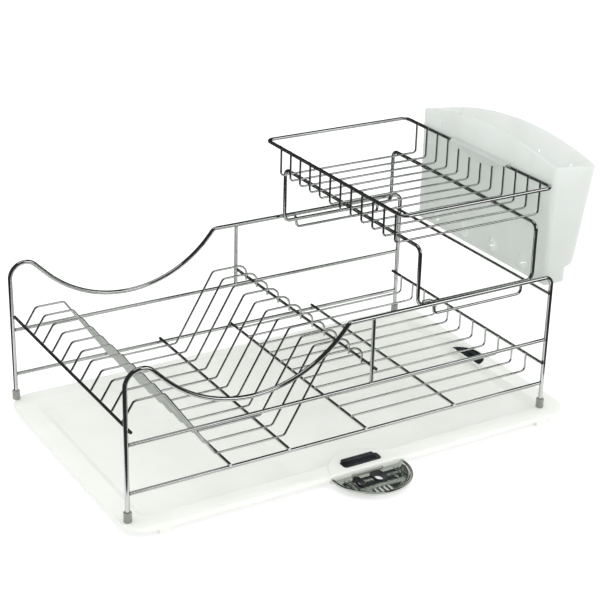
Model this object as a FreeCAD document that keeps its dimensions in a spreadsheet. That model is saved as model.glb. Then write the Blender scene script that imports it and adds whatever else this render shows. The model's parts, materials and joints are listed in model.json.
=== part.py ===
import FreeCAD, Part
import Sketcher
import math
import os

from FreeCAD import Placement, Rotation, Vector

# Two-tier wire dish drying rack: drip tray, wire rack, upper shelf and cutlery holder.
#
# Design coordinates: X runs along the rack, Y from its near side to its far side, Z up.
# Their zero is the centre of the near left leg, on top of the tray's border, where the feet
# stand.  Every sub-part is then moved so that the object's own origin is the centre of its
# box, on the surface it rests on.

doc = FreeCAD.newDocument("dish_drying_rack")

# ---------------------------------------------------------------- driving dimensions (mm)

DIMENSIONS = {
    # frame
    "origin_x": 287.3,
    "origin_y": 117.0,
    "base_height": 12.0,
    "weld_bite": 0.1,
    # rack
    "rack_length": 520.0,
    "rack_depth": 300.0,
    "frame_wire": 4.8,
    "rail_wire": 4.0,
    "rod_wire": 3.4,
    "plate_wire": 2.4,
    "low_rail_height": 31.2,
    "mid_rail_height": 85.8,
    "top_rail_height": 163.0,
    "crest_height": 165.8,
    "crest_radius": 17.7,
    "valley_corner_x": 152.9,
    "valley_corner_height": 37.9,
    "valley_radius": 139.5,
    "shoulder_x": 254.2,
    "shoulder_radius": 7.0,
    "end_corner_radius": 9.5,
    "strut_x": 284.6,
    "rod_overhang": 3.0,
    "end_rod_height": 100.8,
    "stop_rod_height": 57.7,
    "holder_rod_height": 144.2,
    "hump_rod_height": 103.3,
    "rod_one_x": 114.4,
    "rod_two_x": 183.9,
    "rod_three_x": 279.0,
    "rod_four_x": 394.8,
    # feet
    "cap_diameter": 9.0,
    "cap_height": 11.0,
    "cap_floor": 1.5,
    # plate wires and floor wires
    "plate_count": 11,
    "plate_pitch": 25.4,
    "plate_shift": -1.5,
    "floor_shift": 1.0,
    "hump_height": 120.4,
    "hump_end_drop": 2.0,
    "left_hump_start": 19.2,
    "left_hump_end": 52.5,
    "floor_start": 109.5,
    "floor_end": 191.5,
    "right_hump_start": 240.5,
    "hump_radius": 5.0,
    "curl_radius": 11.5,
    "stop_wire_top": 60.5,
    # upper shelf
    "stand_wire": 4.2,
    "clip_wire": 3.2,
    "ring_wire": 4.0,
    "shelf_wire": 2.4,
    "stand_left_x": 345.5,
    "stand_right_x": 499.4,
    "stand_inset": 9.5,
    "stand_top": 226.0,
    "stand_foot": 160.2,
    "stand_radius": 8.0,
    "clip_low": 148.2,
    "clip_top": 165.2,
    "clip_left_x": 365.5,
    "clip_right_x": 481.7,
    "clip_radius": 5.0,
    "ring_height": 264.6,
    "ring_center_x": 419.7,
    "ring_center_y": 152.0,
    "ring_length": 196.6,
    "ring_depth": 284.0,
    "ring_radius": 8.0,
    "shelf_count": 12,
    "shelf_pitch": 21.6,
    "shelf_shift": -3.6,
    "shelf_bend": 4.0,
    # cutlery holder
    "holder_center_y": 137.0,
    "holder_width": 250.0,
    "holder_wall": 1.8,
    "holder_inner_x": 520.6,
    "holder_outer_x": 584.1,
    "holder_step_x": 561.0,
    "holder_base_x": 550.5,
    "holder_bottom": 146.4,
    "holder_step_height": 165.5,
    "holder_shoulder": 285.5,
    "holder_peak": 300.5,
    "rim_fall": 6.5,
    "oval_width": 15.0,
    "oval_height": 19.0,
    "oval_pitch": 56.4,
    "oval_level": 162.5,
    "hang_hole": 4.0,
    "hang_hole_reach": 83.8,
    "hang_hole_level": 277.0,
    "back_hole_pitch": 57.0,
    "back_hole_level": 268.7,
    "hook_width": 104.0,
    "hook_reach": 9.4,
    "hook_bottom": 256.5,
    "hook_under": 267.0,
    "slot_width": 5.0,
    "slot_length": 26.0,
    "slot_pitch": 20.0,
    # drip tray
    "tray_left": -8.4,
    "tray_front": -22.0,
    "tray_length": 558.0,
    "tray_depth": 329.0,
    "tray_radius": 25.0,
    "tray_wall": 2.0,
    "skirt_height": 5.0,
    "border_width": 23.0,
    "basin_depth": 7.0,
    "basin_slope": 8.0,
    "basin_radius": 14.0,
    "tray_foot_length": 15.0,
    "tray_foot_width": 8.0,
    "tray_foot_inset": 33.4,
    "lobe_height": 0.8,
    # drain spout and its gate
    "spout_x": 270.0,
    "spout_radius": 46.0,
    "spout_center_y": -27.0,
    "spout_thickness": 6.0,
    "spout_drop": 2.5,
    "spout_rim": 3.0,
    "spout_dish": 3.5,
    "tongue_length": 6.0,
    "tongue_width": 40.0,
    "tongue_thickness": 3.0,
    "tongue_level": -7.0,
    "small_hole_x": 251.0,
    "small_hole_y": -36.0,
    "small_hole_width": 9.0,
    "small_hole_length": 20.0,
    "large_hole_x": 276.0,
    "large_hole_y": -35.0,
    "large_hole_width": 16.0,
    "large_hole_length": 22.0,
    "grid_x": 266.0,
    "grid_y": -60.0,
    "grid_pitch": 5.5,
    "grid_slot_width": 3.0,
    "grid_slot_length": 10.0,
    "gate_y": -7.9,
    "gate_width": 47.0,
    "gate_depth": 13.4,
    "gate_proud": 1.2,
    "gate_rib_width": 34.0,
    "gate_rib_depth": 4.0,
    "gate_rib_height": 3.0,
    "well_depth": 3.9,
    "well_gap": 0.3,
    # end drain plug
    "plug_chord_x": 524.0,
    "plug_reach": 20.5,
    "plug_width": 54.0,
    "plug_y": 148.7,
    "plug_well_wall": 2.0,
    "plug_tab_reach": 9.0,
    "plug_tab_width": 20.0,
}

sheet = doc.addObject("Spreadsheet::Sheet", "sheet")
for row, (alias, value) in enumerate(DIMENSIONS.items(), start=1):
    sheet.set("A%d" % row, alias)
    sheet.set("B%d" % row, str(value))
    sheet.setAlias("B%d" % row, alias)
doc.recompute()

SUB_PARTS = []


def value(formula):
    """The number that a formula over the sheet's aliases gives, in millimetres or degrees."""
    result = sheet.evalExpression(formula)
    return float(getattr(result, "Value", result))


def keep(thing, label):
    """Registers a finished sub-part under the name that its file takes."""
    thing.Label = label
    SUB_PARTS.append(thing)
    return thing


def locate(thing, x="0", y="0", z="0"):
    """Puts a sub-part's own zero at a design position, moved into the object's frame."""
    thing.setExpression("Placement.Base.x", "%s - sheet.origin_x" % x)
    thing.setExpression("Placement.Base.y", "%s - sheet.origin_y" % y)
    thing.setExpression("Placement.Base.z", "%s + sheet.base_height" % z)


# ---------------------------------------------------------------- straight wires

ALONG_X = Rotation(Vector(0, 1, 0), 90)
ALONG_Y = Rotation(Vector(1, 0, 0), -90)
ALONG_Z = Rotation()


def straight_wire(label, direction, diameter, length, start):
    """A straight round wire from its start point, along X, Y or Z."""
    wire = doc.addObject("Part::Cylinder", label)
    wire.Placement = Placement(Vector(), direction)
    wire.setExpression("Radius", "%s / 2" % diameter)
    wire.setExpression("Height", length)
    locate(wire, *start)
    return keep(wire, label)


# ---------------------------------------------------------------- bent wires

def origin_plane(body, role):
    """One of a body's own origin planes, found by its role."""
    return next(plane for plane in body.Origin.OriginFeatures if plane.Role == role)


def new_sketch(body, name, role, offset="0"):
    """A sketch on one of the body's origin planes, lifted off it by a distance."""
    sketch = body.newObject("Sketcher::SketchObject", name)
    sketch.AttachmentSupport = [(origin_plane(body, role), "")]
    sketch.MapMode = "FlatFace"
    sketch.setExpression("AttachmentOffset.Base.z", offset)
    return sketch


def pin_point(sketch, geometry, position, point):
    """Holds a sketch point at a pair of formulas, measured from the sketch's origin."""
    for kind, formula in zip(("DistanceX", "DistanceY"), point):
        index = sketch.addConstraint(
            Sketcher.Constraint(kind, -1, 1, geometry, position, value(formula)))
        sketch.setExpression("Constraints[%d]" % index, formula)


def bend_points(corners, radii):
    """For a run of corners, the tangent points and centre of each rounded bend."""
    bends = []
    for before, corner, after, radius in zip(corners, corners[1:], corners[2:], radii):
        incoming = (before - corner).normalize()
        outgoing = (after - corner).normalize()
        half_angle = incoming.getAngle(outgoing) / 2
        reach = radius / math.tan(half_angle)
        middle = (incoming + outgoing).normalize()
        bends.append((corner + incoming * reach, corner + outgoing * reach,
                      corner + middle * (radius / math.sin(half_angle))))
    return bends


def path_sketch(body, role, points, radii):
    """A wire's centre line: straight runs through the given corners, with tangent bends."""
    sketch = new_sketch(body, "centre_line", role)
    corners = [Vector(value(a), value(b), 0) for a, b in points]
    bends = bend_points(corners, [value(radius) for radius in radii])
    starts = [corners[0]] + [bend[1] for bend in bends]
    ends = [bend[0] for bend in bends] + [corners[-1]]
    runs = [sketch.addGeometry(Part.LineSegment(a, b), False) for a, b in zip(starts, ends)]
    for index, (first, last, centre) in enumerate(bends):
        radius = (first - centre).Length
        turns_left = (first - centre).cross(last - centre).z > 0
        circle = Part.Circle(centre, Vector(0, 0, 1), radius)
        if turns_left:
            arc = Part.ArcOfCircle(circle, circle.parameter(first), circle.parameter(last))
        else:
            arc = Part.ArcOfCircle(circle, circle.parameter(last), circle.parameter(first))
        bend = sketch.addGeometry(arc, False)
        arc_start, arc_end = (1, 2) if turns_left else (2, 1)
        sketch.addConstraint(Sketcher.Constraint("Tangent", runs[index], 2, bend, arc_start))
        sketch.addConstraint(Sketcher.Constraint("Tangent", bend, arc_end, runs[index + 1], 1))
        size = sketch.addConstraint(Sketcher.Constraint("Radius", bend, radius))
        sketch.setExpression("Constraints[%d]" % size, radii[index])
        corner = sketch.addGeometry(Part.Point(corners[index + 1]), True)
        pin_point(sketch, corner, 1, points[index + 1])
        sketch.addConstraint(Sketcher.Constraint("PointOnObject", corner, 1, runs[index]))
        sketch.addConstraint(Sketcher.Constraint("PointOnObject", corner, 1, runs[index + 1]))
    pin_point(sketch, runs[0], 1, points[0])
    pin_point(sketch, runs[-1], 2, points[-1])
    return sketch


def round_section(body, role, diameter, centre, offset):
    """The wire's round section, square to the start of its centre line."""
    sketch = new_sketch(body, "section", role, offset)
    middle = Vector(value(centre[0]), value(centre[1]), 0)
    radius = "%s / 2" % diameter
    circle = sketch.addGeometry(Part.Circle(middle, Vector(0, 0, 1), value(radius)), False)
    pin_point(sketch, circle, 3, centre)
    size = sketch.addConstraint(Sketcher.Constraint("Radius", circle, value(radius)))
    sketch.setExpression("Constraints[%d]" % size, radius)
    return sketch


def bent_wire(label, diameter, points, radii, level, starts_upright):
    """A wire bent in an XZ plane; it starts upright, or level along X, at its first point."""
    body = doc.addObject("PartDesign::Body", label)
    path = path_sketch(body, "XZ_Plane", points, radii)
    first_x, first_z = points[0]
    if starts_upright:
        section = round_section(body, "XY_Plane", diameter, (first_x, "0"), first_z)
    else:
        section = round_section(body, "YZ_Plane", diameter, ("0", first_z), first_x)
    doc.recompute()
    pipe = body.newObject("PartDesign::AdditivePipe", "bent_wire")
    pipe.Profile = section
    pipe.Spine = path
    body.Tip = pipe
    locate(body, y=level)
    return keep(body, label)


# ---------------------------------------------------------------- rack: side frames

SIDES = {"near": "0", "far": "sheet.rack_depth"}


def side_frame(side):
    """Both legs and the wavy top rail of one side, bent from one heavy wire."""
    corners = [
        ("0", "sheet.cap_floor"),
        ("0", "sheet.crest_height + sqrt(2) * sheet.crest_radius"),
        ("sheet.valley_corner_x", "sheet.valley_corner_height"),
        ("sheet.shoulder_x", "sheet.top_rail_height"),
        ("sheet.rack_length", "sheet.top_rail_height"),
        ("sheet.rack_length", "sheet.cap_floor"),
    ]
    radii = ["sheet.crest_radius", "sheet.valley_radius",
             "sheet.shoulder_radius", "sheet.end_corner_radius"]
    bent_wire(side + "_side_frame", "sheet.frame_wire", corners, radii, SIDES[side], True)


def side_rails(side):
    """The two level rails between the legs, and the strut up to the top rail."""
    between_legs = "sheet.rack_length - sheet.frame_wire + 2 * sheet.weld_bite"
    first_x = "sheet.frame_wire / 2 - sheet.weld_bite"
    for level in ("low", "mid"):
        height = "sheet.%s_rail_height" % level
        straight_wire("%s_%s_rail" % (side, level), ALONG_X, "sheet.rail_wire",
                      between_legs, (first_x, SIDES[side], height))
    foot = "sheet.mid_rail_height + sheet.rail_wire / 2 - sheet.weld_bite"
    head = "sheet.top_rail_height - sheet.frame_wire / 2 + sheet.weld_bite"
    straight_wire(side + "_strut", ALONG_Z, "sheet.rail_wire", "%s - (%s)" % (head, foot),
                  ("sheet.strut_x", SIDES[side], foot))


for side in SIDES:
    side_frame(side)
    side_rails(side)

# ---------------------------------------------------------------- rack: cross rods

BESIDE_LEG = "(sheet.frame_wire / 2 + sheet.rod_wire / 2 - sheet.weld_bite)"
ON_LOW_RAIL = "(sheet.low_rail_height + sheet.rail_wire / 2 + sheet.rod_wire / 2 - sheet.weld_bite)"
HUMP_ROD_X = "(sheet.strut_x + sheet.rail_wire / 2 + sheet.rod_wire / 2 - sheet.weld_bite)"

CROSS_RODS = {
    "left_end_rod": (BESIDE_LEG, "sheet.end_rod_height"),
    "floor_rod_1": ("sheet.rod_one_x", ON_LOW_RAIL),
    "floor_rod_2": ("sheet.rod_two_x", ON_LOW_RAIL),
    "floor_rod_3": ("sheet.rod_three_x", ON_LOW_RAIL),
    "floor_rod_4": ("sheet.rod_four_x", ON_LOW_RAIL),
    "hump_rod": (HUMP_ROD_X, "sheet.hump_rod_height"),
    "stop_rod": ("sheet.rack_length - " + BESIDE_LEG, "sheet.stop_rod_height"),
    "holder_rod": ("sheet.rack_length - " + BESIDE_LEG, "sheet.holder_rod_height"),
}

for label, (rod_x, rod_height) in CROSS_RODS.items():
    straight_wire(label, ALONG_Y, "sheet.rod_wire", "sheet.rack_depth + 2 * sheet.rod_overhang",
                  (rod_x, "-sheet.rod_overhang", rod_height))

# ---------------------------------------------------------------- rack: plate and floor wires

WIRE_ON_FLOOR = "(%s + sheet.rod_wire / 2 + sheet.plate_wire / 2 - sheet.weld_bite)" % ON_LOW_RAIL
SIDE_BY_SIDE = "(sheet.rod_wire / 2 + sheet.plate_wire / 2 - sheet.weld_bite)"


def row_level(index, count, pitch, middle):
    """Where wire number index of a row lies across the rack."""
    return "%s + (%d - (%s - 1) / 2) * %s" % (middle, index, count, pitch)


def plate_wire(index):
    """Over the left hump, along the floor, over the right hump and down to the hump rod."""
    curl_x = "%s - %s" % (HUMP_ROD_X, SIDE_BY_SIDE)
    corners = [
        (curl_x, "sheet.hump_rod_height - sheet.hump_end_drop"),
        (curl_x, "sheet.hump_height"),
        ("sheet.right_hump_start", "sheet.hump_height"),
        ("sheet.floor_end", WIRE_ON_FLOOR),
        ("sheet.floor_start", WIRE_ON_FLOOR),
        ("sheet.left_hump_end", "sheet.hump_height"),
        ("sheet.left_hump_start", "sheet.hump_height"),
        (BESIDE_LEG + " + " + SIDE_BY_SIDE, "sheet.end_rod_height"),
    ]
    radii = ["sheet.curl_radius"] + ["sheet.hump_radius"] * 5
    middle = "sheet.rack_depth / 2 + sheet.plate_shift"
    level = row_level(index, "sheet.plate_count", "sheet.plate_pitch", middle)
    bent_wire("plate_wire_%02d" % (index + 1), "sheet.plate_wire", corners, radii, level, True)


def floor_wire(index):
    """Along the right-hand floor and up to the stop rod."""
    stop_x = "sheet.rack_length - %s - %s" % (BESIDE_LEG, SIDE_BY_SIDE)
    corners = [
        ("sheet.rod_three_x - sheet.rod_wire / 2", WIRE_ON_FLOOR),
        (stop_x, WIRE_ON_FLOOR),
        (stop_x, "sheet.stop_wire_top"),
    ]
    middle = "sheet.rack_depth / 2 + sheet.floor_shift"
    level = row_level(index, "sheet.plate_count", "sheet.plate_pitch", middle)
    bent_wire("floor_wire_%02d" % (index + 1), "sheet.plate_wire", corners,
              ["sheet.hump_radius"], level, False)


for index in range(int(value("sheet.plate_count"))):
    plate_wire(index)
    floor_wire(index)

# ---------------------------------------------------------------- rack: feet

def leg_cap(label, cap_x, cap_y):
    """A soft cap pushed over the end of a leg, which stands on the cap's floor."""
    body = doc.addObject("PartDesign::Body", label)
    outline = round_section(body, "XY_Plane", "sheet.cap_diameter", ("0", "0"), "0")
    cup = body.newObject("PartDesign::Pad", "cup")
    cup.Profile = outline
    cup.setExpression("Length", "sheet.cap_height")
    mouth = round_section(body, "XY_Plane", "sheet.frame_wire", ("0", "0"), "sheet.cap_height")
    bore = body.newObject("PartDesign::Pocket", "bore")
    bore.Profile = mouth
    bore.setExpression("Length", "sheet.cap_height - sheet.cap_floor")
    body.Tip = bore
    locate(body, cap_x, cap_y)
    keep(body, label)


for side, level in SIDES.items():
    leg_cap(side + "_left_foot_cap", "0", level)
    leg_cap(side + "_right_foot_cap", "sheet.rack_length", level)

# ---------------------------------------------------------------- upper shelf: stand and clips

def rounded_path(corners, radius):
    """A wire path through corners in space, with the same bend at each of them."""
    bends = bend_points(corners, [radius] * (len(corners) - 2))
    starts = [corners[0]] + [bend[1] for bend in bends]
    ends = [bend[0] for bend in bends] + [corners[-1]]
    edges = []
    for index, (start, end) in enumerate(zip(starts, ends)):
        edges.append(Part.LineSegment(start, end).toShape())
        if index < len(bends):
            first, last, centre = bends[index]
            outward = (corners[index + 1] - centre).normalize()
            edges.append(Part.Arc(first, centre + outward * radius, last).toShape())
    return Part.Wire(edges)


def stand_frame(label, post_x, foot_end_x):
    """Two legs and a top bar, with both feet bent along the rack's top rails."""
    inset = value("sheet.stand_inset")
    far = value("sheet.rack_depth") - inset
    foot = value("sheet.stand_foot")
    top = value("sheet.stand_top")
    corners = [Vector(foot_end_x, inset, foot), Vector(post_x, inset, foot),
               Vector(post_x, inset, top), Vector(post_x, far, top),
               Vector(post_x, far, foot), Vector(foot_end_x, far, foot)]
    path = rounded_path(corners, value("sheet.stand_radius"))
    section = Part.Wire(Part.makeCircle(value("sheet.stand_wire") / 2, corners[0],
                                        corners[1] - corners[0]))
    frame = doc.addObject("Part::Feature", label)
    frame.Shape = path.makePipeShell([section], True, False)
    locate(frame)
    keep(frame, label)


middle_x = value("(sheet.stand_left_x + sheet.stand_right_x) / 2")
stand_frame("stand_left_frame", value("sheet.stand_left_x"), middle_x)
stand_frame("stand_right_frame", value("sheet.stand_right_x"), middle_x)

CLIP_ASIDE = "(sheet.stand_wire / 2 + sheet.clip_wire / 2 - sheet.weld_bite)"
CLIP_LEVELS = {
    "near": "sheet.stand_inset - " + CLIP_ASIDE,
    "far": "sheet.rack_depth - sheet.stand_inset + " + CLIP_ASIDE,
}


def clip_wire(side):
    """From beside the left leg over the foot, under it along the rail, and up at the right."""
    corners = [
        ("sheet.stand_left_x + sheet.stand_wire", "sheet.clip_top"),
        ("sheet.clip_left_x - sheet.clip_wire", "sheet.clip_top"),
        ("sheet.clip_left_x", "sheet.clip_low"),
        ("sheet.clip_right_x", "sheet.clip_low"),
        ("sheet.clip_right_x", "sheet.stand_foot + sheet.stand_wire / 2"),
    ]
    bent_wire(side + "_clip_wire", "sheet.clip_wire", corners, ["sheet.clip_radius"] * 3,
              CLIP_LEVELS[side], False)


for side in CLIP_LEVELS:
    clip_wire(side)

# ---------------------------------------------------------------- upper shelf: ring and wires

def shelf_ring():
    """The rounded rectangle of wire round the shelf's rim."""
    body = doc.addObject("PartDesign::Body", "shelf_ring")
    half_length = "sheet.ring_length / 2"
    half_depth = "sheet.ring_depth / 2"
    corners = [("0", "-" + half_depth), (half_length, "-" + half_depth),
               (half_length, half_depth), ("-" + half_length, half_depth),
               ("-" + half_length, "-" + half_depth), ("0", "-" + half_depth)]
    path = path_sketch(body, "XY_Plane", corners, ["sheet.ring_radius"] * 4)
    section = round_section(body, "YZ_Plane", "sheet.ring_wire", ("-" + half_depth, "0"), "0")
    doc.recompute()
    pipe = body.newObject("PartDesign::AdditivePipe", "bent_wire")
    pipe.Profile = section
    pipe.Spine = path
    body.Tip = pipe
    locate(body, "sheet.ring_center_x", "sheet.ring_center_y", "sheet.ring_height")
    keep(body, "shelf_ring")


def shelf_wires():
    """The row of wires hung inside the ring, resting on the stand's two top bars."""
    inside_ring = "(sheet.ring_wire / 2 + sheet.shelf_wire / 2 - sheet.weld_bite)"
    left_x = "sheet.ring_center_x - sheet.ring_length / 2 + " + inside_ring
    right_x = "sheet.ring_center_x + sheet.ring_length / 2 - " + inside_ring
    floor = "sheet.stand_top + sheet.stand_wire / 2 + sheet.shelf_wire / 2 - sheet.weld_bite"
    corners = [(left_x, "sheet.ring_height"), (left_x, floor),
               (right_x, floor), (right_x, "sheet.ring_height")]
    middle = "sheet.rack_depth / 2 + sheet.shelf_shift"
    first = row_level(0, "sheet.shelf_count", "sheet.shelf_pitch", middle)
    body = bent_wire("shelf_wires", "sheet.shelf_wire", corners, ["sheet.shelf_bend"] * 2,
                     first, True)
    body.AllowCompound = True
    row = body.newObject("PartDesign::LinearPattern", "row_of_wires")
    row.Originals = [body.Tip]
    row.Direction = (origin_plane(body, "Y_Axis"), [""])
    row.setExpression("Length", "(sheet.shelf_count - 1) * sheet.shelf_pitch")
    row.setExpression("Occurrences", "sheet.shelf_count")
    body.Tip = row


shelf_ring()
shelf_wires()

# ---------------------------------------------------------------- outlines for pads and pockets

def outline_sketch(body, name, role, points, offset="0"):
    """A closed outline of straight edges through pinned corners."""
    sketch = new_sketch(body, name, role, offset)
    corners = [Vector(value(a), value(b), 0) for a, b in points]
    edges = [sketch.addGeometry(Part.LineSegment(start, end), False)
             for start, end in zip(corners, corners[1:] + corners[:1])]
    for index, edge in enumerate(edges):
        following = edges[(index + 1) % len(edges)]
        sketch.addConstraint(Sketcher.Constraint("Coincident", edge, 2, following, 1))
        pin_point(sketch, edge, 1, points[index])
    return sketch


def arched_outline(sketch, start, crown, end, corners):
    """Closes straight edges through the corners with an arc from start over crown to end."""
    spots = [Vector(value(a), value(b), 0) for a, b in [end] + corners + [start]]
    edges = [sketch.addGeometry(Part.LineSegment(a, b), False) for a, b in zip(spots, spots[1:])]
    top = Vector(value(crown[0]), value(crown[1]), 0)
    curve = Part.Arc(spots[-1], top, spots[0])
    arc = sketch.addGeometry(curve, False)
    centre = curve.toShape().Curve.Center
    starts_first = (spots[-1] - centre).cross(top - centre).z > 0
    arc_start, arc_end = (1, 2) if starts_first else (2, 1)
    for before, after in zip(edges, edges[1:]):
        sketch.addConstraint(Sketcher.Constraint("Coincident", before, 2, after, 1))
    sketch.addConstraint(Sketcher.Constraint("Coincident", edges[-1], 2, arc, arc_start))
    sketch.addConstraint(Sketcher.Constraint("Coincident", edges[0], 1, arc, arc_end))
    for edge, point in zip(edges, [end] + corners):
        pin_point(sketch, edge, 1, point)
    pin_point(sketch, edges[-1], 2, start)
    peak = sketch.addGeometry(Part.Point(top), True)
    pin_point(sketch, peak, 1, crown)
    sketch.addConstraint(Sketcher.Constraint("PointOnObject", peak, 1, arc))
    return sketch


def rounded_rectangle(sketch, left, front, right, back, radius):
    """A rectangle with rounded corners, drawn counter-clockwise."""
    corners = [(left, front), (right, front), (right, back), (left, back)]
    middle = ("(%s + %s) / 2" % (left, right), front)
    ring = [middle, corners[1], corners[2], corners[3], corners[0], middle]
    spots = [Vector(value(a), value(b), 0) for a, b in ring]
    bends = bend_points(spots, [value(radius)] * 4)
    starts = [bend[1] for bend in bends]
    ends = [bend[0] for bend in bends[1:] + bends[:1]]
    sides = [sketch.addGeometry(Part.LineSegment(a, b), False) for a, b in zip(starts, ends)]
    for index, (first, last, centre) in enumerate(bends):
        circle = Part.Circle(centre, Vector(0, 0, 1), value(radius))
        arc = sketch.addGeometry(Part.ArcOfCircle(circle, circle.parameter(first),
                                                  circle.parameter(last)), False)
        sketch.addConstraint(Sketcher.Constraint("Tangent", sides[index - 1], 2, arc, 1))
        sketch.addConstraint(Sketcher.Constraint("Tangent", arc, 2, sides[index], 1))
        size = sketch.addConstraint(Sketcher.Constraint("Radius", arc, value(radius)))
        sketch.setExpression("Constraints[%d]" % size, radius)
        corner = sketch.addGeometry(Part.Point(spots[index + 1]), True)
        pin_point(sketch, corner, 1, ring[index + 1])
        sketch.addConstraint(Sketcher.Constraint("PointOnObject", corner, 1, sides[index - 1]))
        sketch.addConstraint(Sketcher.Constraint("PointOnObject", corner, 1, sides[index]))
    return sketch


def slot_outline(sketch, centre, half_width, half_height):
    """An upright slot with round ends."""
    middle_x, middle_y = centre
    left = "%s - %s" % (middle_x, half_width)
    right = "%s + %s" % (middle_x, half_width)
    low = "%s - %s + %s" % (middle_y, half_height, half_width)
    high = "%s + %s - %s" % (middle_y, half_height, half_width)
    spots = [(left, high), (left, low), (right, low), (right, high)]
    a, b, c, d = [Vector(value(x), value(y), 0) for x, y in spots]
    left_side = sketch.addGeometry(Part.LineSegment(a, b), False)
    right_side = sketch.addGeometry(Part.LineSegment(c, d), False)
    bottom = Vector(value(middle_x), value("%s - %s" % (middle_y, half_height)), 0)
    crown = Vector(value(middle_x), value("%s + %s" % (middle_y, half_height)), 0)
    low_arc = sketch.addGeometry(Part.Arc(b, bottom, c), False)
    high_arc = sketch.addGeometry(Part.Arc(d, crown, a), False)
    for line, line_end, arc, arc_end in ((left_side, 2, low_arc, 1), (right_side, 1, low_arc, 2),
                                         (right_side, 2, high_arc, 1), (left_side, 1, high_arc, 2)):
        sketch.addConstraint(Sketcher.Constraint("Tangent", line, line_end, arc, arc_end))
    pin_point(sketch, left_side, 1, spots[0])
    pin_point(sketch, left_side, 2, spots[1])
    width = sketch.addConstraint(Sketcher.Constraint("Radius", low_arc, value(half_width)))
    sketch.setExpression("Constraints[%d]" % width, half_width)


def pad(body, name, sketch, length, both_ways=False, reverse=False):
    """Adds a sketch's outline, pulled out by a length."""
    feature = body.newObject("PartDesign::Pad", name)
    feature.Profile = sketch
    feature.setExpression("Length", length)
    feature.Midplane = both_ways
    feature.Reversed = reverse
    body.Tip = feature
    return feature


def pocket(body, name, sketch, length, both_ways=False, reverse=False):
    """Takes a sketch's outline away, to a depth, and makes sure that it met the solid."""
    doc.recompute()
    volume_before = body.Shape.Volume
    feature = body.newObject("PartDesign::Pocket", name)
    feature.Profile = sketch
    feature.setExpression("Length", length)
    feature.Midplane = both_ways
    feature.Reversed = reverse
    body.Tip = feature
    doc.recompute()
    if body.Shape.Volume >= volume_before:
        raise RuntimeError("%s cut nothing from %s" % (name, body.Label))
    return feature


# ---------------------------------------------------------------- cutlery holder

def cutlery_holder():
    """A tapered open box that hooks over the shelf's ring and hangs beside the rack."""
    body = doc.addObject("PartDesign::Body", "cutlery_holder")
    body.Label = "cutlery_holder"
    wall = "sheet.holder_wall"
    inner, outer = "sheet.holder_inner_x", "sheet.holder_outer_x"
    step, base = "sheet.holder_step_x", "sheet.holder_base_x"
    bottom, shelf = "sheet.holder_bottom", "sheet.holder_step_height"
    peak = "sheet.holder_peak"
    side_view = outline_sketch(body, "side_view", "XZ_Plane", [
        (inner, bottom), (base, bottom), (base, shelf), (step, shelf + " + " + wall),
        (outer, peak), (inner, peak)])
    pad(body, "block", side_view, "sheet.holder_width", both_ways=True)
    hollow = outline_sketch(body, "hollow_view", "XZ_Plane", [
        (inner + " + " + wall, bottom + " + " + wall),
        (base + " - " + wall, bottom + " + " + wall),
        (base + " - " + wall, shelf + " + " + wall),
        (step + " - " + wall, shelf + " + 2 * " + wall),
        (outer + " - " + wall, peak), (outer + " - " + wall, peak + " + " + wall),
        (inner + " + " + wall, peak + " + " + wall)])
    pocket(body, "hollow", hollow, "sheet.holder_width - 2 * " + wall, both_ways=True)
    arch = arch_outline(body, inner + " - " + wall)
    feature = pocket(body, "arch", arch, outer + " - " + inner + " + 2 * " + wall, reverse=True)
    feature.UseCustomVector = True
    run = value(outer + " - " + inner)
    feature.Direction = Vector(-run, 0, value("sheet.rim_fall"))
    add_hook(body)
    add_holder_openings(body)
    locate(body, y="sheet.holder_center_y")
    keep(body, "cutlery_holder")


def arch_outline(body, offset):
    """What lies above the arched rim, drawn beside the inner wall."""
    half = "sheet.holder_width / 2"
    wall = "sheet.holder_wall"
    shoulder, peak = "sheet.holder_shoulder", "sheet.holder_peak"
    above = peak + " + sheet.rim_fall + " + wall
    sketch = new_sketch(body, "arch_view", "YZ_Plane", offset)
    return arched_outline(sketch, ("-" + half, shoulder), ("0", peak), (half, shoulder),
                          [(half + " + " + wall, shoulder), (half + " + " + wall, above),
                           ("-" + half + " - " + wall, above),
                           ("-" + half + " - " + wall, shoulder)])


def add_hook(body):
    """A broad tongue that passes over the ring and comes down inside it."""
    wall = "sheet.holder_wall"
    inner = "sheet.holder_inner_x"
    tip = inner + " - sheet.hook_reach"
    under = "sheet.hook_under"
    low = "sheet.hook_bottom"
    side_view = outline_sketch(body, "hook_view", "XZ_Plane", [
        (inner + " + " + wall + " / 2", under), (tip + " + " + wall, under),
        (tip + " + " + wall, low), (tip, low), (tip, under + " + " + wall),
        (inner + " + " + wall + " / 2", under + " + " + wall)])
    pad(body, "hook", side_view, "sheet.hook_width", both_ways=True)
    half = "sheet.hook_width / 2"
    edge = new_sketch(body, "hook_edge", "YZ_Plane", tip + " + 1.5 * " + wall)
    arched_outline(edge, ("-" + half, under), ("0", low), (half, under),
                   [(half + " + " + wall, under), (half + " + " + wall, low + " - " + wall),
                    ("-" + half + " - " + wall, low + " - " + wall),
                    ("-" + half + " - " + wall, under)])
    pocket(body, "round_hook", edge, "3 * " + wall)


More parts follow.
